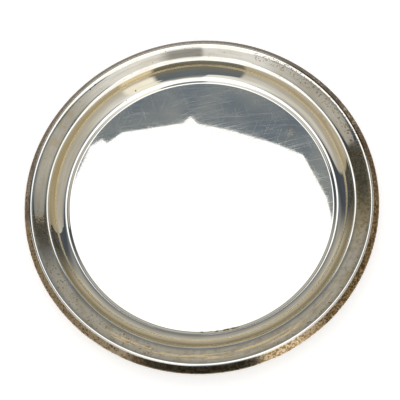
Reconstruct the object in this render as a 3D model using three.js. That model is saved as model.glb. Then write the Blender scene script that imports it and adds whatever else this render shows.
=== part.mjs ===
// A round silver-plated salver: a spun dish with a stepped rim, and a moulded border soldered round its edge.
// Millimetres, +Z up. The origin is the middle of the flat base, on the surface that the salver stands on.
import * as THREE from "three";

// Overall size
const OUTER_RADIUS = 152.5;

// Sheet metal, and the room that a solder film takes between two pieces
const DISH_SHEET = 1.2;
const BORDER_SHEET = 0.8;
const SOLDER_GAP = 0.3;

// Dish, outwards from the flat well floor: a small step, a wall with a tight and a wide hollow, a round shoulder
// and a hollow rim. Radii are those of the sheet's middle, and angles are slopes in degrees.
const STEP_RADIUS = 3.1;
const STEP_ANGLE = 40;
const LEDGE_ANGLE = 12;
const LEDGE_WIDTH = 0.3;
const WALL_FOOT_RADIUS = 11.1;
const WALL_FOOT_ANGLE = 40;
const WALL_HOLLOW_RADIUS = 23.6;
const WALL_ANGLE = 72;
const SHOULDER_RADIUS = 1.2;
const RIM_START_ANGLE = 12.8;
const RIM_HOLLOW_RADIUS = 11.6;
const LAP_ANGLE = 18.5;

// Border, outwards from its feather edge on the rim: a hollow, a lap and a free run, a swelling up to the crest,
// the crest, a sloping lip and a hem rolled round a wire
const FEATHER_EDGE = 0.25;
const BORDER_HOLLOW_RADIUS = 14.4;
const BORDER_ANGLE = 28.8;
const LAP_RUN = 2.2;
const FREE_RUN = 4.8;
const SWELL_RADIUS = 17.6;
const CREST_ANGLE = 18;
const CREST_RADIUS = 2;
const LIP_ANGLE = 36;
const LIP_LENGTH = 5.45;
const HEM_RADIUS = 1.8;
const HEM_ANGLE = 235;

// Solder that fills the border past the dish's edge
const FILL_THICKNESS = 1.2;

// Facets
const SEGMENTS = 72;
const CHORD_HEIGHT = 0.05;
const WIRE_SIDES = 10;

const radians = THREE.MathUtils.degToRad;

// How much steeper the border gets than the rim that it laps, and the seat that it covers there
const scarfAngle = radians(BORDER_ANGLE - LAP_ANGLE);
const seatWidth = BORDER_HOLLOW_RADIUS * Math.sin(scarfAngle) + LAP_RUN * Math.cos(scarfAngle);

// How many chords follow an arc within the chord height
function chords(radius, turn) {
  return Math.ceil(Math.abs(turn) / (2 * Math.acos(1 - CHORD_HEIGHT / radius)));
}

// The middle line of a bent sheet in the half plane through the axis. Each point holds its radius r,
// its height z and its heading a, which is 0 outwards and positive upwards.
class SheetLine {
  constructor(r, z, heading) {
    this.points = [{ r, z, a: radians(heading) }];
  }

  get end() {
    return this.points.at(-1);
  }

  run(length) {
    const { r, z, a } = this.end;
    this.points.push({ r: r + length * Math.cos(a), z: z + length * Math.sin(a), a });
    return this;
  }

  // Bends upwards by a positive angle and downwards by a negative one.
  bend(radius, angle) {
    const { r, z, a } = this.end;
    const turn = radians(angle);
    const reach = Math.sign(turn) * radius;
    const steps = chords(radius, turn);
    for (let i = 1; i <= steps; i++) {
      const b = a + (turn * i) / steps;
      this.points.push({
        r: r + reach * (Math.sin(b) - Math.sin(a)),
        z: z + reach * (Math.cos(a) - Math.cos(b)),
        a: b,
      });
    }
    return this;
  }

  // The centre of a downward bend that starts where the line ends
  centreBelow(radius) {
    const { r, z, a } = this.end;
    return { r: r + radius * Math.sin(a), z: z - radius * Math.cos(a) };
  }

  // The line's points moved square to it, upwards by a positive distance
  face(distance) {
    return this.points.map(({ r, z, a }) => {
      return new THREE.Vector2(r - distance * Math.sin(a), z + distance * Math.cos(a));
    });
  }
}

// A step of a given length along a slope
function along(slope, length) {
  return new THREE.Vector2(Math.cos(radians(slope)), Math.sin(radians(slope))).multiplyScalar(length);
}

// Sections run anticlockwise, so that their faces point outwards once they are turned.
function sheetSection(line, thickness) {
  return [...line.face(-thickness / 2), ...line.face(thickness / 2).reverse()];
}

function closed(section) {
  return [...section, section[0].clone()];
}

function turned(name, section, material) {
  const geometry = new THREE.LatheGeometry(section, SEGMENTS).rotateX(Math.PI / 2);
  const mesh = new THREE.Mesh(geometry, material);
  mesh.name = name;
  return mesh;
}

// The dish, from the axis to the edge that the border hides
function dishLine(floorRadius) {
  return new SheetLine(0, DISH_SHEET / 2, 0)
    .run(floorRadius)
    .bend(STEP_RADIUS, STEP_ANGLE)
    .bend(STEP_RADIUS, LEDGE_ANGLE - STEP_ANGLE)
    .run(LEDGE_WIDTH)
    .bend(WALL_FOOT_RADIUS, WALL_FOOT_ANGLE - LEDGE_ANGLE)
    .bend(WALL_HOLLOW_RADIUS, WALL_ANGLE - WALL_FOOT_ANGLE)
    .bend(SHOULDER_RADIUS, RIM_START_ANGLE - WALL_ANGLE)
    .bend(RIM_HOLLOW_RADIUS, LAP_ANGLE - RIM_START_ANGLE)
    .run(seatWidth);
}

// The border where it laps the dish, from the feather edge to above the dish's edge
function lapLine(dish) {
  const start = dish.face(DISH_SHEET / 2 + SOLDER_GAP + FEATHER_EDGE - BORDER_SHEET / 2).at(-2);
  return new SheetLine(start.x, start.y, LAP_ANGLE)
    .bend(BORDER_HOLLOW_RADIUS, BORDER_ANGLE - LAP_ANGLE)
    .run(LAP_RUN);
}

// The border without its hem
function lipLine(dish) {
  return lapLine(dish)
    .run(FREE_RUN)
    .bend(SWELL_RADIUS, CREST_ANGLE - BORDER_ANGLE)
    .bend(CREST_RADIUS, -CREST_ANGLE - LIP_ANGLE)
    .run(LIP_LENGTH);
}

// The flat floor takes what the rim and the border leave of the overall radius.
const edgeRadius = lipLine(dishLine(0)).centreBelow(HEM_RADIUS).r + HEM_RADIUS + BORDER_SHEET / 2;
const dish = dishLine(OUTER_RADIUS - edgeRadius);
const hemCentre = lipLine(dish).centreBelow(HEM_RADIUS);

// A sheet whose lap is cut away below along the dish's seat, and whose outer edge is rolled into a hem
function borderSection() {
  const lap = lapLine(dish);
  const cutStart = dish.face(DISH_SHEET / 2 + SOLDER_GAP).at(-2);
  const lapEnd = lap.face(-BORDER_SHEET / 2).at(-1);
  const rise = lapEnd.clone().sub(cutStart).dot(along(LAP_ANGLE + 90, 1));
  const cutEnd = lapEnd.clone().sub(along(BORDER_ANGLE, rise / Math.sin(scarfAngle)));
  const border = lipLine(dish).bend(HEM_RADIUS, -HEM_ANGLE);
  const under = border.face(-BORDER_SHEET / 2).slice(lap.points.length);
  return closed([cutStart, cutEnd, ...under, ...border.face(BORDER_SHEET / 2).reverse()]);
}

// A round wire inside the hem
function wireSection() {
  const radius = HEM_RADIUS - BORDER_SHEET / 2 - SOLDER_GAP;
  const section = [];
  for (let i = 0; i < WIRE_SIDES; i++) {
    const a = (2 * Math.PI * i) / WIRE_SIDES;
    section.push(new THREE.Vector2(hemCentre.r + radius * Math.cos(a), hemCentre.z + radius * Math.sin(a)));
  }
  return closed(section);
}

// The fill starts past the dish's edge, follows the border's hollow side as far as the lip, and is flat below.
function fillSection() {
  const depth = BORDER_SHEET / 2 + SOLDER_GAP;
  const start = lapLine(dish).face(-depth).at(-1).add(along(BORDER_ANGLE, SOLDER_GAP));
  const hollow = new SheetLine(start.x, start.y, BORDER_ANGLE)
    .run(FREE_RUN - SOLDER_GAP)
    .bend(SWELL_RADIUS - depth, CREST_ANGLE - BORDER_ANGLE)
    .bend(CREST_RADIUS - depth, -CREST_ANGLE - LIP_ANGLE);
  const heel = start.clone().add(along(BORDER_ANGLE - 90, FILL_THICKNESS));
  return closed([heel, ...hollow.face(0).reverse()]);
}

const polishedSilver = new THREE.MeshStandardMaterial({ color: 0xe6e2d8, roughness: 0.08, metalness: 1 });
const tarnishedSilver = new THREE.MeshStandardMaterial({ color: 0x8a7558, roughness: 0.3, metalness: 1 });
const brass = new THREE.MeshStandardMaterial({ color: 0xb08d4f, roughness: 0.4, metalness: 1 });
const softSolder = new THREE.MeshStandardMaterial({ color: 0x8c8c88, roughness: 0.6, metalness: 1 });

const salver = new THREE.Group();
salver.name = "salver";
salver.add(
  turned("dish", sheetSection(dish, DISH_SHEET), polishedSilver),
  turned("rim_border", borderSection(), tarnishedSilver),
  turned("edge_wire", wireSection(), brass),
  turned("border_solder", fillSection(), softSolder),
);

export default salver;
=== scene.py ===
"""Dresses a round silver-plated salver: a spun dish, a soldered border, a wired hem and a solder fill."""

import math
from functools import cached_property

import bmesh
import bpy
from bpy.props import FloatProperty, FloatVectorProperty, PointerProperty
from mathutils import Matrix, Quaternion, Vector


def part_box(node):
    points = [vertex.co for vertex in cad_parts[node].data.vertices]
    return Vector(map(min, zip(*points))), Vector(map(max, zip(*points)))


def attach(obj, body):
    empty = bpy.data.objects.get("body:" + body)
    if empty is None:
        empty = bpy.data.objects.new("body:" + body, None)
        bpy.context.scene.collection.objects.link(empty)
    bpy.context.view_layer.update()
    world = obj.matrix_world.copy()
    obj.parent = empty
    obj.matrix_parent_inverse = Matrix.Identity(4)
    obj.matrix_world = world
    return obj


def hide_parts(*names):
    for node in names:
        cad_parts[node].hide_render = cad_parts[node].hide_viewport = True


bl_info = {
    "name": "Silver-plated salver",
    "version": (1, 0, 0),
    "blender": (4, 5, 0),
    "location": "3D View > Sidebar > Salver",
    "description": "Builds a round silver-plated salver and the studio that it is photographed in",
    "category": "Object",
}

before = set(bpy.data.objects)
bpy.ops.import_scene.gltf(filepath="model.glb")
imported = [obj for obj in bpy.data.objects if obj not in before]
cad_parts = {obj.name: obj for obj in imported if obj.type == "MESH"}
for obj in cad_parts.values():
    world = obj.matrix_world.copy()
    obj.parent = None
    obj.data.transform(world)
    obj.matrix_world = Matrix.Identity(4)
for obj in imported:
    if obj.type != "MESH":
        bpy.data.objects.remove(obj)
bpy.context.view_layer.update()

MM = 0.001
BODY = "root"

# The salver's outer radius, from the frame
OUTER_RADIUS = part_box("rim_border")[1].x

# Facets
TURN_STEPS = 288
BEND_STEP = math.radians(3)
HOLD = 0.25 * MM
SHARP_ANGLE = math.radians(35)
MERGE_DISTANCE = 0.001 * MM

# How far the hem rolls, how far the dish goes on under the border, the film of solder between two pieces,
# and how thick the solder fill is at its inner end
HEM_TURN = math.radians(-235)
SEAT = 4.7 * MM
SOLDER_FILM = 0.03 * MM
FILL_HEEL = 1.2 * MM

# The forms of the dish and of the border, outwards
DISH_FORMS = ("step_foot", "step_crown", "ledge", "wall_foot", "wall", "shoulder", "rim")
BORDER_FORMS = ("hollow", "run", "swelling", "crest", "lip", "hem")


# Settings


class SalverSizes(bpy.types.PropertyGroup):
    """Sizes of the salver's sheets, bends and runs, on the side of the sheet that shows"""

    outer_radius: FloatProperty(
        name="Outer radius", description="Radius of the wired edge",
        default=OUTER_RADIUS, unit="LENGTH")
    dish_sheet: FloatProperty(
        name="Dish sheet", description="Thickness of the dish",
        default=1.2 * MM, unit="LENGTH")
    border_sheet: FloatProperty(
        name="Border sheet", description="Thickness of the border",
        default=0.8 * MM, unit="LENGTH")
    step_radius: FloatProperty(
        name="Step radius", description="Radius of the step's hollow foot",
        default=2.5 * MM, unit="LENGTH")
    step_angle: FloatProperty(
        name="Step angle", description="Steepest slope of the step",
        default=math.radians(40), subtype="ANGLE")
    ledge_angle: FloatProperty(
        name="Ledge angle", description="Slope of the ledge above the step",
        default=math.radians(12), subtype="ANGLE")
    ledge_width: FloatProperty(
        name="Ledge width", description="Width of the ledge above the step",
        default=0.25 * MM, unit="LENGTH")
    wall_foot_radius: FloatProperty(
        name="Wall foot radius", description="Radius of the hollow at the foot of the wall",
        default=10.5 * MM, unit="LENGTH")
    wall_foot_angle: FloatProperty(
        name="Wall foot angle", description="Slope where the wall's two hollows meet",
        default=math.radians(40), subtype="ANGLE")
    wall_hollow: FloatProperty(
        name="Wall hollow", description="Radius of the wall's upper hollow",
        default=23 * MM, unit="LENGTH")
    wall_angle: FloatProperty(
        name="Wall angle", description="Slope of the top of the wall",
        default=math.radians(72), subtype="ANGLE")
    shoulder_radius: FloatProperty(
        name="Shoulder radius", description="Radius of the shoulder between wall and rim",
        default=1.8 * MM, unit="LENGTH")
    rim_start_angle: FloatProperty(
        name="Rim start angle", description="Slope of the rim at the shoulder",
        default=math.radians(12.8), subtype="ANGLE")
    rim_hollow: FloatProperty(
        name="Rim hollow", description="Radius of the rim's hollow next to the shoulder",
        default=11 * MM, unit="LENGTH")
    lap_angle: FloatProperty(
        name="Lap angle", description="Slope of the rim under the border",
        default=math.radians(18.5), subtype="ANGLE")
    border_hollow: FloatProperty(
        name="Border hollow", description="Radius of the border's hollow above its feather edge",
        default=14 * MM, unit="LENGTH")
    border_angle: FloatProperty(
        name="Border angle", description="Steepest slope of the border inside its crest",
        default=math.radians(28.8), subtype="ANGLE")
    border_run: FloatProperty(
        name="Border run", description="Straight run of the border at its steepest slope",
        default=6.96 * MM, unit="LENGTH")
    border_crown: FloatProperty(
        name="Border crown", description="Radius of the border's swelling up to the crest",
        default=18 * MM, unit="LENGTH")
    crest_angle: FloatProperty(
        name="Crest angle", description="Slope where the swelling meets the crest",
        default=math.radians(18), subtype="ANGLE")
    crest_radius: FloatProperty(
        name="Crest radius", description="Radius of the crest",
        default=2.4 * MM, unit="LENGTH")
    lip_angle: FloatProperty(
        name="Lip angle", description="Slope of the lip that turns down from the crest",
        default=math.radians(36), subtype="ANGLE")
    lip_length: FloatProperty(
        name="Lip length", description="Straight run of the lip",
        default=5.45 * MM, unit="LENGTH")
    hem_radius: FloatProperty(
        name="Hem radius", description="Outer radius of the hem round the wire",
        default=2.2 * MM, unit="LENGTH")


class SalverFinish(bpy.types.PropertyGroup):
    """Colours of the salver's metals"""

    silver: FloatVectorProperty(
        name="Silver", description="Polished silver plate",
        default=(0.94, 0.925, 0.885), subtype="COLOR", size=3, min=0, max=1)
    toning: FloatVectorProperty(
        name="Toning", description="Olive toning high on the wall, where a cloth doesn't reach",
        default=(0.74, 0.61, 0.36), subtype="COLOR", size=3, min=0, max=1)
    olive: FloatVectorProperty(
        name="Olive", description="Deep toning at the top of the front wall",
        default=(0.33, 0.28, 0.14), subtype="COLOR", size=3, min=0, max=1)
    haze: FloatVectorProperty(
        name="Haze", description="Grey haze on the rim",
        default=(0.74, 0.70, 0.60), subtype="COLOR", size=3, min=0, max=1)
    # Painted reflection: the colour of a bright line painted on the wall in place of a reflection
    painted_reflection: FloatVectorProperty(
        name="Rubbed line", description="Bright line where the toning on the wall is rubbed away",
        default=(0.98, 0.86, 0.62), subtype="COLOR", size=3, min=0, max=1)
    residue: FloatVectorProperty(
        name="Residue", description="Dried polish left in streaks on the rim",
        default=(0.84, 0.66, 0.36), subtype="COLOR", size=3, min=0, max=1)
    brown: FloatVectorProperty(
        name="Brown", description="Greyish brown film on the lip",
        default=(0.54, 0.46, 0.36), subtype="COLOR", size=3, min=0, max=1)
    ochre: FloatVectorProperty(
        name="Ochre", description="Heavy, yellowish brown film on the lip",
        default=(0.34, 0.22, 0.09), subtype="COLOR", size=3, min=0, max=1)
    tarnish: FloatVectorProperty(
        name="Tarnish", description="Dark tarnish in specks, pits and film",
        default=(0.085, 0.055, 0.028), subtype="COLOR", size=3, min=0, max=1)
    umber: FloatVectorProperty(
        name="Umber", description="Dark brown film on the front of the lip",
        default=(0.1156, 0.0748, 0.03544), subtype="COLOR", size=3, min=0, max=1)
    copper: FloatVectorProperty(
        name="Copper", description="Base metal that shows through worn plate",
        default=(0.76, 0.61, 0.43), subtype="COLOR", size=3, min=0, max=1)
    brass: FloatVectorProperty(
        name="Brass", description="Wire in the hem",
        default=(0.62, 0.46, 0.22), subtype="COLOR", size=3, min=0, max=1)
    solder: FloatVectorProperty(
        name="Solder", description="Soft solder behind the border",
        default=(0.36, 0.36, 0.35), subtype="COLOR", size=3, min=0, max=1)


class SalverStudio(bpy.types.PropertyGroup):
    """The camera, the soft light and the room that the polished metal mirrors"""

    camera_distance: FloatProperty(
        name="Camera distance", description="From the camera to the point that it aims at",
        default=0.600, unit="LENGTH")
    camera_elevation: FloatProperty(
        name="Camera elevation", description="Height of the camera above the table as an angle",
        default=math.radians(69.5), subtype="ANGLE")
    camera_roll: FloatProperty(
        name="Camera roll", description="Turn of the picture about its middle",
        default=math.radians(9.3), subtype="ANGLE")
    camera_lens: FloatProperty(
        name="Camera lens", description="Focal length in millimetres",
        default=62.3, min=1)
    light_height: FloatProperty(
        name="Light height", description="Height of the soft light over the table",
        default=1.3, unit="LENGTH")
    light_strength: FloatProperty(
        name="Light strength", description="Brightness of the soft light's face",
        default=1.25, min=0)
    room_light: FloatProperty(
        name="Room light", description="Even light from the room",
        default=0.75, min=0)


# Sections, drawn in the half plane of +X and +Z and then turned about +Z


class Section:
    """The outline of a turned piece, drawn as runs and bends from a first point. Headings are 0 outwards."""

    def __init__(self, x, z, heading=0.0):
        self.bm = bmesh.new()
        self.first = self.bm.verts.new((x, 0, z))
        self.end = self.first
        self.heading = heading

    def run(self, length):
        """Runs straight on, with a holding ring near each end so that the run mirrors as a true straight."""
        hold = min(HOLD, length / 3)
        way = Vector((math.cos(self.heading), 0, math.sin(self.heading)))
        for part in (hold, length - 2 * hold, hold):
            self.go(way * part)
        return self

    def go(self, move):
        made = bmesh.ops.extrude_vert_indiv(self.bm, verts=[self.end])
        self.end = made["verts"][0]
        bmesh.ops.translate(self.bm, verts=[self.end], vec=move)
        return self

    def bend(self, radius, angle):
        """Bends upwards by a positive angle and downwards by a negative one."""
        centre = self.beside(math.copysign(radius, angle))
        steps = max(2, math.ceil(abs(angle) / BEND_STEP))
        made = bmesh.ops.spin(
            self.bm, geom=[self.end], cent=centre, axis=(0, -1, 0), angle=angle, steps=steps)
        self.end = next(v for v in made["geom_last"] if isinstance(v, bmesh.types.BMVert))
        self.heading += angle
        return self

    def follow(self, moves):
        for move in moves:
            if len(move) == 1:
                self.run(*move)
            else:
                self.bend(*move)
        return self

    def back(self, moves, sheet):
        """Turns round the sheet's edge and follows the moves backwards on its other side."""
        self.heading -= math.pi / 2
        self.run(sheet)
        self.heading -= math.pi / 2
        for move in reversed(moves):
            if len(move) == 1:
                self.run(*move)
            else:
                radius, angle = move
                self.bend(radius + math.copysign(sheet, angle), -angle)
        return self

    def close(self):
        self.bm.edges.new((self.end, self.first))
        return self

    def reach(self):
        return max(v.co.x for v in self.bm.verts)

    def beside(self, distance):
        """A place square to the line's end, above it for a positive distance"""
        return self.end.co + Vector((-math.sin(self.heading), 0, math.cos(self.heading))) * distance

    def drop(self):
        """Frees the section and gives back where it ended."""
        place = self.end.co.copy()
        self.bm.free()
        return place


def turned(name, section, material, node):
    """Turns a section about +Z into the piece that stands for a CAD node."""
    bm = section.bm
    bmesh.ops.spin(
        bm, geom=bm.verts[:] + bm.edges[:], cent=(0, 0, 0), axis=(0, 0, 1),
        angle=math.tau, steps=TURN_STEPS, use_merge=True)
    bmesh.ops.remove_doubles(bm, verts=bm.verts[:], dist=MERGE_DISTANCE)
    bmesh.ops.recalc_face_normals(bm, faces=bm.faces[:])
    for face in bm.faces:
        face.smooth = True
    mesh = bpy.data.meshes.new(name)
    bm.to_mesh(mesh)
    bm.free()
    mesh.set_sharp_from_angle(angle=SHARP_ANGLE)
    mesh.materials.append(material)
    piece = bpy.data.objects.new(name, mesh)
    bpy.context.scene.collection.objects.link(piece)
    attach(piece, BODY)
    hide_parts(node)
    return piece


def dish_moves(s):
    """The dish's upper side from the edge of its flat floor to the edge that the border hides."""
    step_crown = s.step_radius + s.dish_sheet
    return [
        (s.step_radius, s.step_angle),
        (step_crown, s.ledge_angle - s.step_angle),
        (s.ledge_width,),
        (s.wall_foot_radius, s.wall_foot_angle - s.ledge_angle),
        (s.wall_hollow, s.wall_angle - s.wall_foot_angle),
        (s.shoulder_radius, s.rim_start_angle - s.wall_angle),
        (s.rim_hollow, s.lap_angle - s.rim_start_angle),
    ]


def border_moves(s):
    """The border's upper side from its feather edge on the rim to the end of its hem."""
    return [
        (s.border_hollow, s.border_angle - s.lap_angle),
        (s.border_run,),
        (s.border_crown, s.crest_angle - s.border_angle),
        (s.crest_radius, -s.lip_angle - s.crest_angle),
        (s.lip_length,),
        (s.hem_radius, HEM_TURN),
    ]


def floor_radius(s):
    """The flat floor takes what the rim and the border leave of the outer radius."""
    trial = Section(0, 0).follow(dish_moves(s)).follow(border_moves(s))
    reach = trial.reach()
    trial.drop()
    return s.outer_radius - reach


def dish_marks(s):
    """Where each form of the dish ends"""
    moves = dish_moves(s)
    start = floor_radius(s)
    return {
        form: Section(start, s.dish_sheet).follow(moves[:n]).drop() for n, form in enumerate(DISH_FORMS, 1)}


def border_line(s, moves):
    """The border's upper side, as far as some of its moves go"""
    edge = dish_marks(s)["rim"]
    return Section(edge.x, edge.z + SOLDER_FILM, s.lap_angle).follow(moves)


def border_marks(s):
    """Where each form of the border ends"""
    moves = border_moves(s)
    return {form: border_line(s, moves[:n]).drop() for n, form in enumerate(BORDER_FORMS, 1)}


def lap_cut(s):
    """How far up its straight run the border's underside is cut away, so that its lap lies on the rim"""
    scarf = s.border_angle - s.lap_angle
    depth = s.border_sheet * math.cos(scarf) - s.border_hollow * (1 - math.cos(scarf))
    return depth / math.sin(scarf)


# Node trees

# Sockets of a Mix node that mixes colours
MIX_SHARE, MIX_FIRST, MIX_SECOND, MIX_RESULT = 0, 6, 7, 2

# Vector operations that give a number
NUMBER_RESULTS = ("LENGTH", "DISTANCE", "DOT_PRODUCT")


def opaque(colour):
    """A colour with its alpha; a node's output stays as it is."""
    return colour if isinstance(colour, bpy.types.NodeSocket) else (*colour, 1)


class Nodes:
    """A node tree, with short calls to add and join its nodes"""

    def __init__(self, tree):
        self.tree = tree

    def feed(self, value, socket):
        """Joins another node's output to a socket, or sets a plain value on it."""
        if isinstance(value, bpy.types.NodeSocket):
            self.tree.links.new(value, socket)
        else:
            socket.default_value = value

    def add(self, kind, inputs=None, **settings):
        """Adds a node with its settings and feeds its inputs."""
        node = self.tree.nodes.new(kind)
        for key, value in settings.items():
            setattr(node, key, value)
        for key, value in (inputs or {}).items():
            self.feed(value, node.inputs[key])
        return node

    def math(self, operation, *values):
        return self.add("ShaderNodeMath", dict(enumerate(values)), operation=operation).outputs[0]

    def most(self, *values):
        total = values[0]
        for value in values[1:]:
            total = self.math("MAXIMUM", total, value)
        return total

    def times(self, *values):
        total = values[0]
        for value in values[1:]:
            total = self.math("MULTIPLY", total, value)
        return total

    def span(self, share, low, high):
        """From low where the share is 0 to high where it is 1"""
        return self.math("MULTIPLY_ADD", share, high - low, low)

    def ease(self, value, low, high):
        """0 below low and 1 above high, with a soft change between them"""
        node = self.add(
            "ShaderNodeMapRange", {"Value": value, "From Min": low, "From Max": high},
            interpolation_type="SMOOTHSTEP")
        return node.outputs[0]

    def band(self, value, start, full, fade, end):
        """Rises from start to full and falls from fade to end"""
        return self.times(self.ease(value, start, full), self.ease(value, end, fade))

    def mix(self, share, first, second):
        """From a first colour to a second"""
        inputs = {MIX_SHARE: share, MIX_FIRST: opaque(first), MIX_SECOND: opaque(second)}
        return self.add("ShaderNodeMix", inputs, data_type="RGBA").outputs[MIX_RESULT]


# Finishes. Angles round the salver are in degrees: 0 is right, 90 is in front, 180 is left and 270 is behind.


def polar(angle, radius):
    """A place on the salver, seen from above"""
    return (radius * math.cos(math.radians(angle)), -radius * math.sin(math.radians(angle)), 0)


class Finish(Nodes):
    """A material, with the noises, patches, rings and spots that its marks are made of"""

    def __init__(self, name):
        self.material = bpy.data.materials.new(name)
        self.material.use_nodes = True
        super().__init__(self.material.node_tree)
        self.shader = self.tree.nodes["Principled BSDF"]

    def join(self, value, socket):
        """Feeds an input of the metal's shader."""
        self.feed(value, self.shader.inputs[socket])

    def bump(self, height, strength, distance):
        inputs = {"Height": height, "Strength": strength, "Distance": distance}
        self.join(self.add("ShaderNodeBump", inputs).outputs[0], "Normal")

    def show(self, surface):
        """Shows another shader in place of the metal's."""
        self.tree.nodes.remove(self.shader)
        self.feed(surface, self.tree.nodes["Material Output"].inputs["Surface"])

    def vector(self, operation, *values, **named):
        node = self.add("ShaderNodeVectorMath", {**dict(enumerate(values)), **named}, operation=operation)
        return node.outputs["Value" if operation in NUMBER_RESULTS else "Vector"]

    @cached_property
    def coordinates(self):
        return self.add("ShaderNodeTexCoord").outputs["Object"]

    @cached_property
    def flat(self):
        """The place on the salver without its height"""
        return self.vector("MULTIPLY", self.coordinates, (1, 1, 0))

    @cached_property
    def radius(self):
        """Distance from the salver's axis"""
        return self.vector("LENGTH", self.flat)

    @cached_property
    def outwards(self):
        return self.vector("NORMALIZE", self.flat)

    def distance(self, place):
        """Distance from a place, seen from above"""
        return self.vector("DISTANCE", self.flat, place)

    def noise(self, scale, detail=2.0, roughness=0.5, vector=None):
        inputs = {
            "Vector": vector or self.coordinates, "Scale": scale, "Detail": detail, "Roughness": roughness}
        return self.add("ShaderNodeTexNoise", inputs).outputs["Fac"]

    def grains(self, scale, detail, roughness, low, high):
        """The parts of a noise that are over a limit"""
        return self.ease(self.noise(scale, detail, roughness), low, high)

    def streaks(self, along, across, detail, roughness, low, high):
        """Marks that run round the salver, from their usual length and width"""
        ring = self.vector("SCALE", self.outwards, Scale=OUTER_RADIUS / along)
        height = self.add("ShaderNodeSeparateXYZ", {0: self.coordinates}).outputs[2]
        path = self.math("DIVIDE", self.math("ADD", self.radius, height), across)
        rise = self.add("ShaderNodeCombineXYZ", {2: path}).outputs[0]
        place = self.vector("ADD", ring, rise)
        return self.ease(self.noise(1.0, detail, roughness, place), low, high)

    def hairlines(self, angle, length, width, amount):
        """Fine scratches along one direction, a little curved; a larger amount makes more of them."""
        wander = self.add(
            "ShaderNodeTexNoise", {"Vector": self.coordinates, "Scale": WANDER_SCALE, "Detail": 0.0})
        bent = self.vector("MULTIPLY_ADD", wander.outputs["Color"], (WANDER,) * 3, self.coordinates)
        way = self.add(
            "ShaderNodeMapping",
            {"Vector": bent, "Rotation": (0, 0, math.radians(angle)), "Scale": (length, width, 1)},
            vector_type="TEXTURE").outputs[0]
        lines = self.noise(1.0, HAIRLINE_DETAIL, HAIRLINE_ROUGHNESS, way)
        shown = self.ease(lines, *[limit - amount for limit in HAIRLINE_LIMITS])
        clumps = self.ease(self.noise(1 / length), *HAIRLINE_CLUMPS)
        return self.times(shown, clumps)

    def patch(self, angle, half, soft):
        """1 within half of an angle round the salver, falling to 0 over the soft angle beyond it"""
        facing = self.vector("DOT_PRODUCT", self.outwards, polar(angle, 1))
        return self.ease(facing, math.cos(math.radians(half + soft)), math.cos(math.radians(half)))

    def patches(self, rows):
        """Patches that each have a strength"""
        return self.most(*[self.times(self.patch(*row), strength) for *row, strength in rows])

    def past(self, radius, low, high):
        """Eases in between two distances from a radius, in millimetres"""
        return self.ease(self.radius, radius + low * MM, radius + high * MM)

    def ring(self, radius, *edges):
        """A ring whose edges are distances from a radius, in millimetres"""
        return self.band(self.radius, *[radius + edge * MM for edge in edges])

    def spot(self, angle, radius, size):
        """1 inside a round spot on the salver"""
        return self.ease(self.distance(polar(angle, radius)), size, SPOT_CORE * size)

    def spots(self, rows):
        return self.most(*[self.spot(*row) for row in rows])


# Share of a spot's size that is full
SPOT_CORE = 0.6

# Angle, length, width and share of each layer of hairlines
HAIRLINES = (
    (14, 0.050, 0.00042, 0.145),
    (61, 0.036, 0.00038, 0.125),
    (-37, 0.060, 0.00040, 0.135),
    (-79, 0.040, 0.00045, 0.115),
    (-9, 0.090, 0.00036, 0.160),
    (4, 0.070, 0.00050, 0.155),
    (101, 0.030, 0.00050, 0.115),
)
HAIRLINE_DETAIL = 1.0
HAIRLINE_ROUGHNESS = 0.4
HAIRLINE_LIMITS = (0.78, 0.86)
HAIRLINE_CLUMPS = (0.32, 0.56)
WANDER = 6 * MM
WANDER_SCALE = 16.0

# Streaks: usual length and width, detail and roughness of the noise, and the limits that it shows between
DISH_CLOUDS = (26 * MM, 3 * MM, 3.0, 0.6, 0.30, 0.72)
BORDER_CLOUDS = (24 * MM, 4 * MM, 4.0, 0.65, 0.30, 0.72)
POLISH_STREAKS = (34 * MM, 2.4 * MM, 3.0, 0.7, 0.46, 0.58)
STRIPES = (16 * MM, 5 * MM, 3.0, 0.6, 0.50, 0.66)

# Grains: scale, detail and roughness of the noise, and the limits that it shows between
STAIN_GRAINS = (420.0, 2.0, 0.5, 0.40, 0.55)
BLOT_GRAINS = (260.0, 3.0, 0.5, 0.42, 0.62)
SMUDGE_GRAINS = (110.0, 3.0, 0.6, 0.46, 0.60)
PATINA_GRAINS = (150.0, 4.0, 0.7, 0.46, 0.62)

# Scale, detail and roughness of the border's fine and coarse grain, and the share of each in its specks
SPECK = (720.0, 2.0, 0.6)
FLECK = (300.0, 3.0, 0.7)
SPECK_SHARE = 0.6
FLECK_SHARE = 0.4

# The toning on the wall and the painted reflection line start on a circle that is a little off the axis,
# towards the back, as a reflection on the hollow wall looks shifted back from the camera
TONING_MIDDLE = (0, 2.6 * MM, 0)
TONING_RADIUS = 127.1 * MM

# Distances outwards from that circle
TONING_EDGE = (-0.5 * MM, 0.5 * MM)
TONING_DEPTH = (1.0 * MM, 5.0 * MM)
# Edges of the painted reflection line on the wall
PAINTED_REFLECTION_BAND = (-0.6 * MM, -0.2 * MM, 0.2 * MM, 0.6 * MM)

# Distances in millimetres from the edge of the floor, the foot of the wall, its top, the shoulder
# and the crest
FLOOR_EDGE = (0.3, -0.7)
WALL_CLOUDS = (-6.0, -3.0)
WALL_TOP = (0.7, -0.1)
RIM_START = (-0.3, 0.2)
INSIDE_CREST = (0.2, -1.0)
WORN_RING = (-9.0, -5.5, -0.3, 0.8)
CREST_RING = (-4.0, -2.0, -0.2, 0.4)

# Distances in millimetres from the end of the border's straight run
POLISH_RING = (-5.5, -4.0, -1.2, 0.3)
STRIPE_START = (-5.0, -1.0)

# Radii in millimetres of the dried drop on the floor's edge
STAIN_RING = (115.8, 116.6, 117.4, 118.2)

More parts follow.
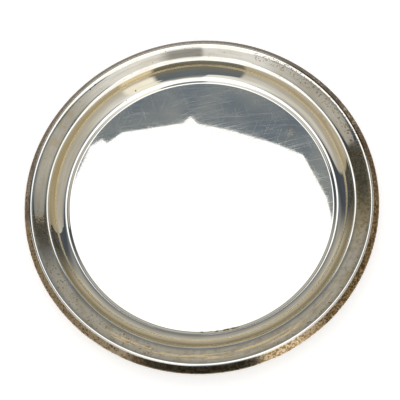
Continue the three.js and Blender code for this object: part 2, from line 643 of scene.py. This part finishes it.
# Patches: angle round the salver, half of the angle that they cover, and the soft angle beyond it
FRONT_WALL = (90, 70, 30)
THIN_TONING = (318, 30, 20)
FLOOR_STAIN = (91, 6, 3)
STREAKED_RIM = (88, 34, 14)
STRIPED_RIM = (62, 26, 14)
SMUDGED_RIM = (218, 6, 8)
PATINA_RIM = (70, 62, 24)
OLIVE_RIM = (19, 24, 5)
OLIVE_RIM_FADE = (0, 10, 24)
OLIVE_SPOT = (175, 4, 4)
WORN_RIM = (328, 25, 8)
STAINED_RIM = (176, 3, 5)
SPECKLED_CREST = (30, 40, 15)
SPECKLED_RIM = (142, 26, 14)
WIDE_FILM = (334, 14, 14)
LIGHT_FILM = (71, 8, 8)
# Darkens the lip behind, towards the back of the salver
LIP_DARKER_BEHIND = (246, 46, 16)

# Patches of film on the lip, each with its strength
HEAVY_FILM = ((24, 32, 10, 1.0), (346, 18, 16, 1.0), (176, 12, 8, 0.55), (150, 14, 12, 0.4))
DARK_FILM = ((314, 20, 12, 0.95), (344, 14, 14, 0.65))
FRONT_FILM = ((94, 11, 5, 1.0), (110, 8, 4, 0.92))

# How the edge of the film on the lip wanders with the grain, how much further in it lies where the film is
# wide, and how soft it is
FILM_WANDER = 1.2 * MM
FILM_SHIFT = 1.3 * MM
FILM_SOFTNESS = 0.9 * MM

# Angle round the salver, radius and size of a blot on the floor and of pits in the plate
FLOOR_BLOT = (330, 104 * MM, 8 * MM)
DISH_PITS = ((249.5, 124.2 * MM, 0.75 * MM), (243.8, 121.0 * MM, 0.5 * MM))
BORDER_PITS = ((234.3, 142.6 * MM, 0.75 * MM), (236.8, 143.0 * MM, 0.8 * MM), (228.2, 141.1 * MM, 0.5 * MM))

# Roughness of clean plate
DISH_ROUGHNESS = 0.022
BORDER_ROUGHNESS = 0.05


def silver_finish(finish, sizes):
    """Polished plate with scratches on the floor, olive toning high on the wall with a painted reflection
    line along its lower edge, and a haze on the rim
    """
    f = Finish("Polished silver plate")
    marks = dish_marks(sizes)
    foot, wall_top, shoulder = (marks[form].x for form in ("wall_foot", "wall", "shoulder"))
    floor = f.past(floor_radius(sizes), *FLOOR_EDGE)
    scratches = f.times(floor, f.most(*[f.hairlines(*layer) for layer in HAIRLINES]))
    clouds = f.streaks(*DISH_CLOUDS)

    from_line = f.math("SUBTRACT", f.distance(TONING_MIDDLE), TONING_RADIUS)
    # A bright line painted along the toning's edge in place of a reflection: a painted reflection
    painted_reflection = f.band(from_line, *PAINTED_REFLECTION_BAND)
    front = f.patch(*FRONT_WALL)
    fading = f.times(f.span(f.ease(from_line, *TONING_DEPTH), 0.62, 0.0), f.span(front, 0.25, 1.0))
    depth = f.math("SUBTRACT", 1.0, fading)
    toned = f.times(
        f.ease(from_line, *TONING_EDGE), f.past(wall_top, *WALL_TOP), depth,
        f.span(clouds, 0.82, 1.0), f.span(f.patch(*THIN_TONING), 1.0, 0.65))
    toning = f.mix(f.times(front, depth, 0.60), finish.toning, finish.olive)

    stain = f.times(f.ring(0, *STAIN_RING), f.patch(*FLOOR_STAIN), f.grains(*STAIN_GRAINS))
    blot = f.times(f.spot(*FLOOR_BLOT), f.grains(*BLOT_GRAINS), 0.35)
    dried = f.most(stain, blot)

    colour = f.mix(f.times(clouds, f.past(foot, *WALL_CLOUDS), 0.5), finish.silver, finish.haze)
    colour = f.mix(toned, colour, toning)
    colour = f.mix(f.times(f.past(shoulder, *RIM_START), clouds, 0.8), colour, finish.haze)
    # Paints the reflection line into the plate's colour
    colour = f.mix(painted_reflection, colour, finish.painted_reflection)
    colour = f.mix(dried, colour, finish.ochre)
    colour = f.mix(f.spots(DISH_PITS), colour, finish.tarnish)
    dull = f.most(f.times(scratches, 0.05), f.times(painted_reflection, 0.26), f.times(dried, 0.3))
    f.join(colour, "Base Color")
    f.join(f.span(scratches, 1.0, 0.7), "Metallic")
    f.join(f.math("ADD", dull, DISH_ROUGHNESS), "Roughness")
    f.bump(scratches, 0.015, 0.02 * MM)
    return f.material


class BorderFinish(Finish):
    """The border's material, with the grain and the radii that its inside and its lip share"""

    def __init__(self, name, sizes):
        super().__init__(name)
        marks = border_marks(sizes)
        self.run, self.crest, self.lip = (marks[form].x for form in ("run", "swelling", "crest"))
        self.speck = self.noise(*SPECK)
        self.fleck = self.noise(*FLECK)
        self.grain = self.math(
            "ADD", self.times(self.speck, SPECK_SHARE), self.times(self.fleck, FLECK_SHARE))


def border_inside(f, finish):
    """The border inside its crest. Gives its colour, its film, its streaks of polish and its specks."""
    inside = f.past(f.crest, *INSIDE_CREST)
    streak = f.times(f.streaks(*POLISH_STREAKS), f.ring(f.run, *POLISH_RING), f.patch(*STREAKED_RIM))
    stripe = f.times(f.streaks(*STRIPES), inside, f.patch(*STRIPED_RIM), f.past(f.run, *STRIPE_START))
    smudge = f.times(f.grains(*SMUDGE_GRAINS), inside, f.patch(*SMUDGED_RIM), 0.7)
    patina = f.times(f.grains(*PATINA_GRAINS), inside, f.patch(*PATINA_RIM), 0.22)
    olive = f.most(
        f.times(f.patch(*OLIVE_RIM), f.patch(*OLIVE_RIM_FADE)), f.times(f.patch(*OLIVE_SPOT), 0.6))
    olive = f.times(inside, olive)

    worn = f.times(f.ring(f.crest, *WORN_RING), f.patch(*WORN_RIM), 0.85)
    stained = f.times(inside, f.patch(*STAINED_RIM))
    strewn = f.most(
        worn, stained,
        f.times(f.ring(f.crest, *CREST_RING), f.patch(*SPECKLED_CREST), 0.8),
        f.times(inside, f.patch(*SPECKLED_RIM), 0.62),
        f.times(inside, 0.3))
    specks = f.ease(f.math("MULTIPLY_ADD", strewn, 0.16, f.grain), 0.66, 0.71)
    speck_colour = f.mix(f.most(stained, f.times(worn, 0.5)), finish.ochre, finish.tarnish)

    colour = f.mix(f.times(inside, f.span(f.streaks(*BORDER_CLOUDS), 0.2, 0.9)), finish.silver, finish.haze)
    colour = f.mix(patina, colour, finish.ochre)
    colour = f.mix(f.most(f.times(olive, 0.85), f.times(f.most(stripe, smudge), 0.6)), colour, finish.toning)
    colour = f.mix(f.times(olive, f.ease(f.fleck, 0.42, 0.60), 0.55), colour, finish.ochre)
    colour = f.mix(f.times(streak, 0.9), colour, finish.residue)
    colour = f.mix(f.times(specks, 0.8), colour, speck_colour)
    colour = f.mix(f.spots(BORDER_PITS), colour, finish.tarnish)
    film = f.most(f.times(streak, 0.7), f.times(olive, 0.06))
    return colour, film, streak, specks


def lip_film(f, finish):
    """The brown film on the lip. Gives its colour and its dark mottling."""
    heavy, dark, front = (f.patches(rows) for rows in (HEAVY_FILM, DARK_FILM, FRONT_FILM))
    light = f.patch(*LIGHT_FILM)
    thin = f.ease(f.fleck, 0.44, 0.60)
    yellow = f.most(f.times(heavy, 0.85), f.times(f.ease(f.fleck, 0.50, 0.60), 0.6))
    mottle = f.ease(f.math("MULTIPLY_ADD", f.most(heavy, light), 0.06, f.grain), 0.55, 0.60)
    bare = f.times(f.ease(f.grain, 0.43, 0.38), f.most(f.times(heavy, 0.6), light))

    colour = f.mix(yellow, finish.brown, finish.ochre)
    colour = f.mix(f.times(light, f.ease(f.fleck, 0.36, 0.50)), colour, finish.copper)
    colour = f.mix(dark, colour, finish.tarnish)
    # Darker towards the back of the lip
    colour = f.mix(f.times(f.patch(*LIP_DARKER_BEHIND), f.span(thin, 0.97, 0.72)), colour, finish.tarnish)
    colour = f.mix(f.times(front, f.span(thin, 1.0, 0.5)), colour, finish.umber)
    colour = f.mix(f.times(mottle, 0.92), colour, f.mix(light, finish.tarnish, finish.ochre))
    colour = f.mix(f.times(bare, 0.7), colour, finish.silver)
    return colour, mottle


def border_finish(finish, sizes):
    """Hazed plate with streaks of polish inside the crest, bright plate on it, and a brown, speckled lip"""
    f = BorderFinish("Worn border plate", sizes)
    colour, film, streak, specks = border_inside(f, finish)
    brown, mottle = lip_film(f, finish)
    edge = f.math("MULTIPLY_ADD", f.speck, FILM_WANDER, f.radius)
    edge = f.math("MULTIPLY_ADD", f.patch(*WIDE_FILM), FILM_SHIFT, edge)
    turned_down = f.ease(edge, f.lip, f.lip + FILM_SOFTNESS)
    dull = f.most(
        f.times(streak, 0.45), f.times(turned_down, f.span(mottle, 0.10, 0.26)), f.times(specks, 0.3))
    f.join(f.mix(turned_down, colour, brown), "Base Color")
    f.join(f.math("SUBTRACT", 1.0, film), "Metallic")
    f.join(f.math("ADD", dull, BORDER_ROUGHNESS), "Roughness")
    f.bump(f.most(f.times(f.speck, turned_down), f.times(specks, 0.5)), 0.2, 0.08 * MM)
    return f.material


def brass_finish(finish):
    """Drawn wire, dulled"""
    f = Finish("Drawn brass wire")
    dull = f.noise(160.0, 3.0)
    f.join(f.mix(dull, finish.brass, finish.tarnish), "Base Color")
    f.join(1.0, "Metallic")
    f.join(f.span(dull, 0.25, 0.55), "Roughness")
    return f.material


def solder_finish(finish):
    """Wiped soft solder"""
    f = Finish("Soft solder")
    wiped = f.noise(240.0, 4.0)
    f.join(f.mix(wiped, finish.solder, finish.toning), "Base Color")
    f.join(1.0, "Metallic")
    f.join(f.span(wiped, 0.35, 0.65), "Roughness")
    f.bump(wiped, 0.3, 0.3 * MM)
    return f.material


# Stage

CAMERA_AIM = Vector((-0.55, -4.55, 12)) * MM

TABLE_RADIUS = 4.0
TABLE_SIDES = 64
TABLE_WHITE = (0.9, 0.9, 0.9, 1)
TABLE_GLOW = 0.42

# The soft light's corners, seen from above, in metres
LIGHT_CORNERS = (
    (-0.385, 0.56), (-0.30, 0.713), (-0.262, 0.729), (-0.249, 0.7125), (-0.20, 0.74), (-0.015, 0.738),
    (0.012, 0.757), (0.029, 0.729), (0.12, 0.69), (0.25, 0.62), (0.319, 0.572), (0.358, 0.43), (0.36, 0.0),
    (0.30, -0.30), (0.06, -0.36), (0.04, -0.20), (-0.10, -0.20), (-0.14, -0.36), (-0.38, -0.30), (-0.44, 0.1),
)

# The dark frame's corners behind the soft light, seen from above, in metres, and its two colours
FRAME_CORNERS = (
    (-0.53, 0.10), (-0.49, 0.58), (-0.37, 0.84), (-0.20, 0.94), (0.10, 0.96), (0.32, 0.90), (0.52, 0.74),
    (0.58, 0.45), (0.57, 0.0), (0.42, -0.26), (0.0, 0.0), (-0.43, -0.26),
)
FRAME_DEPTH = 0.01
FRAME_COLOURS = ((0.135, 0.165, 0.195), (0.225, 0.245, 0.245))
FRAME_SHADING = (5.0, 2.0, 0.5, 0.35, 0.65)


def make_camera(context, studio):
    data = bpy.data.cameras.new("Camera")
    data.lens = studio.camera_lens
    camera = bpy.data.objects.new("Camera", data)
    context.scene.collection.objects.link(camera)
    back = Vector((0, -math.cos(studio.camera_elevation), math.sin(studio.camera_elevation)))
    camera.location = CAMERA_AIM + back * studio.camera_distance
    roll = Quaternion((0, 0, 1), -studio.camera_roll)
    camera.rotation_mode = "QUATERNION"
    camera.rotation_quaternion = (-back).to_track_quat("-Z", "Y") @ roll
    context.scene.camera = camera


def staged(name, bm, material, context):
    """Puts a thing on the stage that isn't a piece of the salver."""
    mesh = bpy.data.meshes.new(name)
    bm.to_mesh(mesh)
    bm.free()
    mesh.materials.append(material)
    thing = bpy.data.objects.new(name, mesh)
    context.scene.collection.objects.link(thing)


def make_table(context):
    """A white table, which glows a little to the camera and in the polished metal"""
    f = Finish("White table")
    path = f.add("ShaderNodeLightPath").outputs
    seen = f.most(path["Is Camera Ray"], path["Is Glossy Ray"])
    cloth = f.add("ShaderNodeBsdfDiffuse", {"Color": TABLE_WHITE}).outputs[0]
    glow = f.add("ShaderNodeEmission", {"Strength": f.times(seen, TABLE_GLOW)}).outputs[0]
    f.show(f.add("ShaderNodeAddShader", {0: cloth, 1: glow}).outputs[0])
    bm = bmesh.new()
    bmesh.ops.create_circle(bm, cap_ends=True, segments=TABLE_SIDES, radius=TABLE_RADIUS)
    staged("table", bm, f.material, context)


def panel(name, corners, height, material, context):
    bm = bmesh.new()
    bm.faces.new([bm.verts.new((x, y, height)) for x, y in reversed(corners)])
    staged(name, bm, material, context)


def make_light(context, studio):
    """The soft light, and the dark frame behind it, which is shaded between its two colours"""
    light = Finish("Soft light")
    light.show(light.add(
        "ShaderNodeEmission", {"Color": (1, 1, 1, 1), "Strength": studio.light_strength}).outputs[0])
    panel("soft_light", LIGHT_CORNERS, studio.light_height, light.material, context)
    dark = Finish("Dark frame")
    colour = dark.mix(dark.grains(*FRAME_SHADING), *FRAME_COLOURS)
    dark.show(dark.add("ShaderNodeEmission", {"Color": colour, "Strength": 1.0}).outputs[0])
    panel("light_frame", FRAME_CORNERS, studio.light_height + FRAME_DEPTH, dark.material, context)


# Colours of the room from the horizon up to the soft light, far from the camera, at its sides and behind it.
# Heights in the room are sines of the angle above the horizon.
FAR_ROOM = (
    (0.00, (0.60, 0.56, 0.46)), (0.26, (0.485, 0.46, 0.395)), (0.42, (0.405, 0.385, 0.335)),
    (0.57, (0.37, 0.355, 0.315)), (0.70, (0.27, 0.265, 0.245)), (0.82, (0.18, 0.20, 0.215)),
)
SIDE_ROOM = (
    (0.00, (0.42, 0.39, 0.31)), (0.26, (0.45, 0.42, 0.36)), (0.57, (0.53, 0.50, 0.43)),
    (0.70, (0.54, 0.51, 0.44)), (0.80, (0.47, 0.45, 0.41)), (0.86, (0.41, 0.40, 0.37)),
    (0.95, (0.50, 0.49, 0.47)),
)
NEAR_ROOM = (
    (0.00, (0.48, 0.43, 0.33)), (0.26, (0.50, 0.47, 0.40)), (0.57, (0.68, 0.66, 0.60)),
    (0.82, (0.85, 0.84, 0.80)), (0.90, (0.80, 0.79, 0.77)), (0.95, (0.92, 0.92, 0.91)),
)
DARK_GAP = (0.05, 0.062, 0.08)
LOW_SCREEN = (0.19, 0.18, 0.145)
DARK_SCREEN = (0.135, 0.16, 0.175)
PALE_SCREEN = (0.32, 0.315, 0.295)
BRIGHT_SIDE = (0.64, 0.615, 0.55)
DIM_SIDE = (0.46, 0.43, 0.36)
CREAM_WALL = (0.97, 0.91, 0.77)
WHITE = (1.0, 1.0, 1.0)

# Where the left half of the room passes into the right half
MIDDLE = (-0.1, 0.1)

# Turns away from the far side of the room, in degrees, and heights
SIDE_TURNS = (55, 85)
SIDE_HEIGHTS = (0.30, 0.50, 0.64, 0.78)
NEAR_TURNS = (100, 140)
NEAR_LEAD = 6
LEFT_GAP_TURNS = (40, 56, 68.5, 71)
RIGHT_GAP_TURNS = (41, 57)
RIGHT_GAP_END = ((0.48, 0.67), (64, 60))
GAP_HEIGHTS = (-0.06, 0.04)
GAP_STRENGTH = 0.95

# Turns away from the near side of the room, in degrees, and heights
SCREEN_START = ((0.59, 0.70), (-37, -18))
SCREEN_START_EDGE = (-1, 2)
SCREEN_END = 17
SCREEN_END_SOFT = 1.5
SCREEN_TOP = (0.95, 0.90)
SCREEN_HIGH = (0.78, 0.88)
SCREEN_HIGH_INSET = 8
SCREEN_HIGH_SOFT = 6.5
SCREEN_NOTCH = (0.56, 0.63, 0.66, 0.73)
SCREEN_NOTCH_INSET = 5
SCREEN_DARK_HEIGHTS = (0.10, 0.55)
SCREEN_PALE_HEIGHTS = (0.70, 0.90)
CREAM_TURNS = (13, 17, 32, 36)
CREAM_HEIGHTS = (0.05, 0.30, 0.84, 0.92)


def degrees(*angles):
    return [math.radians(angle) for angle in angles]


class Room(Nodes):
    """The world: white to the camera, even light to plain surfaces, and a pale room to polished ones"""

    def __init__(self, tree):
        super().__init__(tree)
        tree.nodes.clear()
        way = self.add("ShaderNodeTexCoord").outputs["Generated"]
        self.x, self.y, self.height = self.add("ShaderNodeSeparateXYZ", {0: way}).outputs

    def ramp(self, stops):
        """A colour for each height"""
        node = self.add("ShaderNodeValToRGB", {"Fac": self.height})
        points = node.color_ramp.elements
        while len(points) < len(stops):
            points.new(0.5)
        for point, (place, colour) in zip(points, stops):
            point.position = place
            point.color = opaque(colour)
        return node.outputs["Color"]

    def slope(self, heights, turns):
        """A turn that goes from one angle to another between two heights"""
        (low, high), (first, last) = heights, degrees(*turns)
        node = self.add("ShaderNodeMapRange", {
            "Value": self.height, "From Min": low, "From Max": high, "To Min": first, "To Max": last})
        return node.outputs[0]

    def walls(self, turn):
        """The walls from the far side of the room round to the near side"""
        to_right = self.ease(self.x, *MIDDLE)
        low = self.band(self.height, *SIDE_HEIGHTS)
        side = self.mix(low, self.ramp(SIDE_ROOM), self.mix(to_right, BRIGHT_SIDE, DIM_SIDE))
        room = self.mix(self.ease(turn, *degrees(*SIDE_TURNS)), self.ramp(FAR_ROOM), side)
        lead = self.span(to_right, math.radians(NEAR_LEAD), 0.0)
        near = self.ease(self.math("ADD", turn, lead), *degrees(*NEAR_TURNS))
        return self.mix(near, room, self.ramp(NEAR_ROOM))

    def gaps(self, turn):
        """Two dark gaps, one on each side of the far wall"""
        left = self.times(
            self.band(turn, *degrees(*LEFT_GAP_TURNS)), self.math("LESS_THAN", self.x, 0.0))
        right = self.times(
            self.ease(turn, *degrees(*RIGHT_GAP_TURNS)),
            self.math("LESS_THAN", turn, self.slope(*RIGHT_GAP_END)),
            self.math("GREATER_THAN", self.x, 0.0))
        return self.times(self.most(left, right), self.ease(self.height, *GAP_HEIGHTS), GAP_STRENGTH)

    def screen(self, azimuth):
        """A dark screen on the near side of the room, with a notch in its right end"""
        high = self.ease(self.height, *SCREEN_HIGH)
        notch = self.times(self.band(self.height, *SCREEN_NOTCH), math.radians(SCREEN_NOTCH_INSET))
        end = self.span(high, *degrees(SCREEN_END, SCREEN_END - SCREEN_HIGH_INSET))
        end = self.math("SUBTRACT", end, notch)
        soft = self.span(high, *degrees(SCREEN_END_SOFT, SCREEN_HIGH_SOFT))
        from_start = self.math("SUBTRACT", azimuth, self.slope(*SCREEN_START))
        return self.times(
            self.ease(from_start, *degrees(*SCREEN_START_EDGE)), self.ease(self.height, *SCREEN_TOP),
            self.ease(azimuth, self.math("ADD", end, soft), self.math("SUBTRACT", end, soft)))

    def build(self, studio):
        turn = self.math("ARCTAN2", self.math("ABSOLUTE", self.x), self.y)
        azimuth = self.math("ARCTAN2", self.x, self.math("MULTIPLY", self.y, -1.0))
        room = self.mix(self.gaps(turn), self.walls(turn), DARK_GAP)
        shade = self.mix(self.ease(self.height, *SCREEN_DARK_HEIGHTS), LOW_SCREEN, DARK_SCREEN)
        shade = self.mix(self.ease(self.height, *SCREEN_PALE_HEIGHTS), shade, PALE_SCREEN)
        room = self.mix(self.screen(azimuth), room, shade)
        cream = self.times(
            self.band(azimuth, *degrees(*CREAM_TURNS)), self.band(self.height, *CREAM_HEIGHTS))
        room = self.mix(cream, room, CREAM_WALL)

        path = self.add("ShaderNodeLightPath").outputs
        light = self.mix(path["Is Diffuse Ray"], room, (studio.room_light,) * 3)
        light = self.mix(path["Is Camera Ray"], light, WHITE)
        background = self.add("ShaderNodeBackground", {"Color": light, "Strength": 1.0}).outputs[0]
        self.feed(background, self.add("ShaderNodeOutputWorld").inputs["Surface"])


def make_room(context, studio):
    world = bpy.data.worlds.new("Room")
    context.scene.world = world
    world.use_nodes = True
    Room(world.node_tree).build(studio)


# Operators


class SALVER_OT_stage(bpy.types.Operator):
    """Makes the camera, the white table, the soft light and the room"""

    bl_idname = "salver.stage"
    bl_label = "Stage"

    def execute(self, context):
        studio = context.scene.salver_studio
        context.scene.view_settings.view_transform = "Standard"
        make_camera(context, studio)
        make_table(context)
        make_light(context, studio)
        make_room(context, studio)
        return {"FINISHED"}


class SALVER_OT_dish(bpy.types.Operator):
    """Makes the dish, from the middle of its floor to the seat that the border hides"""

    bl_idname = "salver.dish"
    bl_label = "Dish"

    def execute(self, context):
        s = context.scene.salver_sizes
        moves = [(floor_radius(s),)] + dish_moves(s) + [(SEAT,)]
        section = Section(0, s.dish_sheet).follow(moves).back(moves, s.dish_sheet)
        turned("dish_plate", section, silver_finish(context.scene.salver_finish, s), "dish")
        return {"FINISHED"}


class SALVER_OT_border(bpy.types.Operator):
    """Makes the border, with a feather edge on the rim, a crest, a lip and a hem"""

    bl_idname = "salver.border"
    bl_label = "Border"

    def execute(self, context):
        s = context.scene.salver_sizes
        moves = border_moves(s)
        under = [(s.border_run - lap_cut(s),)] + moves[2:]
        section = border_line(s, moves).back(under, s.border_sheet).close()
        turned("rim_moulding", section, border_finish(context.scene.salver_finish, s),
               "rim_border")
        return {"FINISHED"}


class SALVER_OT_wire(bpy.types.Operator):
    """Makes the wire inside the hem"""

    bl_idname = "salver.wire"
    bl_label = "Edge wire"

    def execute(self, context):
        s = context.scene.salver_sizes
        lip = border_line(s, border_moves(s)[:-1])
        centre = lip.beside(-s.hem_radius)
        lip.drop()
        radius = s.hem_radius - s.border_sheet - SOLDER_FILM
        section = Section(centre.x, centre.z - radius)
        section.bend(radius, math.pi).bend(radius, math.pi)
        turned("hem_wire", section, brass_finish(context.scene.salver_finish), "edge_wire")
        return {"FINISHED"}


class SALVER_OT_solder(bpy.types.Operator):
    """Makes the solder that fills the border's hollow side, past the edge of the dish"""

    bl_idname = "salver.solder"
    bl_label = "Solder fill"

    def execute(self, context):
        s = context.scene.salver_sizes
        depth = s.border_sheet + SOLDER_FILM
        covered = lap_cut(s)
        run = border_line(s, [border_moves(s)[0], (covered,)])
        start = run.beside(-depth)
        heel = run.beside(-depth - FILL_HEEL)
        run.drop()
        section = Section(start.x, start.z, s.border_angle).follow([
            (s.border_run - covered,),
            (s.border_crown - depth, s.crest_angle - s.border_angle),
            (s.crest_radius - depth, -s.lip_angle - s.crest_angle),
        ])
        section.go(heel - section.end.co).close()
        turned("solder_fill", section, solder_finish(context.scene.salver_finish), "border_solder")
        return {"FINISHED"}


class SALVER_PT_panel(bpy.types.Panel):
    """Lists the pieces and the stage"""

    bl_idname = "SALVER_PT_panel"
    bl_label = "Salver"
    bl_space_type = "VIEW_3D"
    bl_region_type = "UI"
    bl_category = "Salver"

    def draw(self, context):
        for operator in OPERATORS:
            self.layout.operator(operator.bl_idname)


OPERATORS = (SALVER_OT_stage, SALVER_OT_dish, SALVER_OT_border, SALVER_OT_wire, SALVER_OT_solder)
CLASSES = (SalverSizes, SalverFinish, SalverStudio, *OPERATORS, SALVER_PT_panel)


def register():
    for cls in CLASSES:
        bpy.utils.register_class(cls)
    bpy.types.Scene.salver_sizes = PointerProperty(type=SalverSizes)
    bpy.types.Scene.salver_finish = PointerProperty(type=SalverFinish)
    bpy.types.Scene.salver_studio = PointerProperty(type=SalverStudio)


def unregister():
    del bpy.types.Scene.salver_studio
    del bpy.types.Scene.salver_finish
    del bpy.types.Scene.salver_sizes
    for cls in reversed(CLASSES):
        bpy.utils.unregister_class(cls)


def main():
    register()
    bpy.ops.salver.stage()
    bpy.ops.salver.dish()
    bpy.ops.salver.border()
    bpy.ops.salver.wire()
    bpy.ops.salver.solder()


if __name__ == "__main__":
    main()
